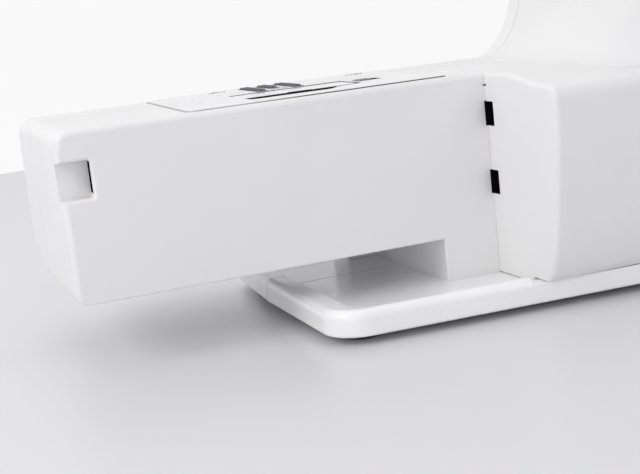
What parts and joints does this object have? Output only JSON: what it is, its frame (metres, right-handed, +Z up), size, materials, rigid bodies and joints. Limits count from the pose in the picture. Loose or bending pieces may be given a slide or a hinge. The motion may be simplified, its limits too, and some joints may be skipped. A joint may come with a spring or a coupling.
{
  "type": "sewing machine free-arm bobbin unit",
  "caption": "Free arm and bed of a domestic sewing machine housing the drop-in bobbin case, rotary hook, feed dog and needle plate, with latch slots for an accessory tray.",
  "frame": {"origin": "bottom centre of the overall bounding box, on the table the feet stand on", "axes": "+X along the free arm from its free end to the body, +Y to the back of the machine, +Z up"},
  "size_m": [0.2516, 0.1494, 0.114],
  "materials": {
    "shell_white": "satin moulded ABS, off-white",
    "base_white": "glossy moulded ABS, white",
    "cover_grey": "satin moulded",
    "black_plastic": "matt black moulded",
    "clear_plastic": "clear polycarbonate",
    "gear_nylon": "natural nylon",
    "plate_steel": "satin chromed steel",
    "steel": "bright turned steel",
    "cast_alloy": "as-cast",
    "bronze": "sintered bronze",
    "foot_rubber": "matt",
    "thread": "wound polyester thread",
    "dark_steel": "dark plated steel",
    "latch_grey": "satin moulded",
    "pulley_black": "moulded"
  },
  "bodies": {
    "bed": {"arm_front_shell": "shell_white", "arm_rear_shell": "shell_white", "body_front_shell": "shell_white", "body_rear_shell": "shell_white", "base_front": "base_white", "base_rear": "base_white", "arm_bottom_cover": "cover_grey", "foot_1": "foot_rubber", "base_screw_1": "steel", "foot_2": "foot_rubber", "base_screw_2": "steel", "foot_3": "foot_rubber", "base_screw_3": "steel", "foot_4": "foot_rubber", "base_screw_4": "steel", "latch_socket_left": "black_plastic", "latch_socket_upper": "black_plastic", "latch_socket_lower": "black_plastic", "bobbin_case": "black_plastic", "joint_plate": "cast_alloy", "pillar_plate": "cast_alloy", "bed_frame": "cast_alloy", "shaft_bush_left": "bronze", "shaft_bush_right": "bronze", "hook_bush_upper": "bronze", "hook_bush_lower": "bronze", "feed_rod_left": "steel", "feed_rod_right": "steel", "plate_screw_1": "steel", "plate_screw_2": "steel", "tension_spring": "steel", "tension_screw": "steel", "case_stopper": "steel", "cover_screw_1": "steel", "cover_screw_2": "steel", "needle_plate": "plate_steel"},
    "bobbin_cover": {"bobbin_cover": "clear_plastic"},
    "cover_latch": {"cover_latch": "latch_grey"},
    "bobbin": {"bobbin": "clear_plastic", "bobbin_thread": "thread"},
    "lower_shaft": {"lower_shaft": "steel", "drive_gear": "gear_nylon", "shaft_collar": "steel", "feed_cam": "steel", "timing_pulley": "pulley_black"},
    "hook": {"hook": "steel", "hook_shaft": "steel", "hook_pinion": "gear_nylon"},
    "feed_bar": {"feed_bar": "dark_steel"},
    "feed_dog": {"feed_dog": "dark_steel"},
    "drop_lever": {"drop_lever": "pulley_black"}
  },
  "joints": [
    {"name": "bobbin_cover_hinge", "type": "hinge", "parent": "bed", "child": "bobbin_cover", "pos_m": [-0.02665, 0.02213, 0.0847], "axis": [-1, 0, 0], "range_deg": [0, 40]},
    {"name": "cover_latch_slide", "type": "slide", "parent": "bed", "child": "cover_latch", "axis": [1, 0, 0], "range_m": [0, 0.003], "stiffness_N_per_m": 90, "springref_m": -0.001},
    {"name": "bobbin_spin", "type": "hinge", "parent": "bed", "child": "bobbin", "pos_m": [-0.02715, 0.01093, 0.072], "axis": [0, 0, 1], "continuous": true},
    {"name": "lower_shaft_spin", "type": "hinge", "parent": "bed", "child": "lower_shaft", "pos_m": [0.01585, 0.03273, 0.045], "axis": [1, 0, 0], "continuous": true},
    {"name": "hook_spin", "type": "hinge", "parent": "bed", "child": "hook", "pos_m": [-0.02715, 0.01093, 0.05], "axis": [0, 0, 1], "continuous": true},
    {"name": "feed_travel", "type": "slide", "parent": "bed", "child": "feed_bar", "axis": [0, 1, 0], "range_m": [-0.0022, 0.0022]},
    {"name": "feed_lift", "type": "slide", "parent": "feed_bar", "child": "feed_dog", "axis": [0, 0, 1], "range_m": [-0.0024, 0]},
    {"name": "feed_drop_lever_slide", "type": "slide", "parent": "bed", "child": "drop_lever", "axis": [1, 0, 0], "range_m": [0, 0.008]}
  ],
  "couplings": [
    {"joint": "lower_shaft_spin", "follows": "hook_spin", "ratio": -0.5}
  ]
}
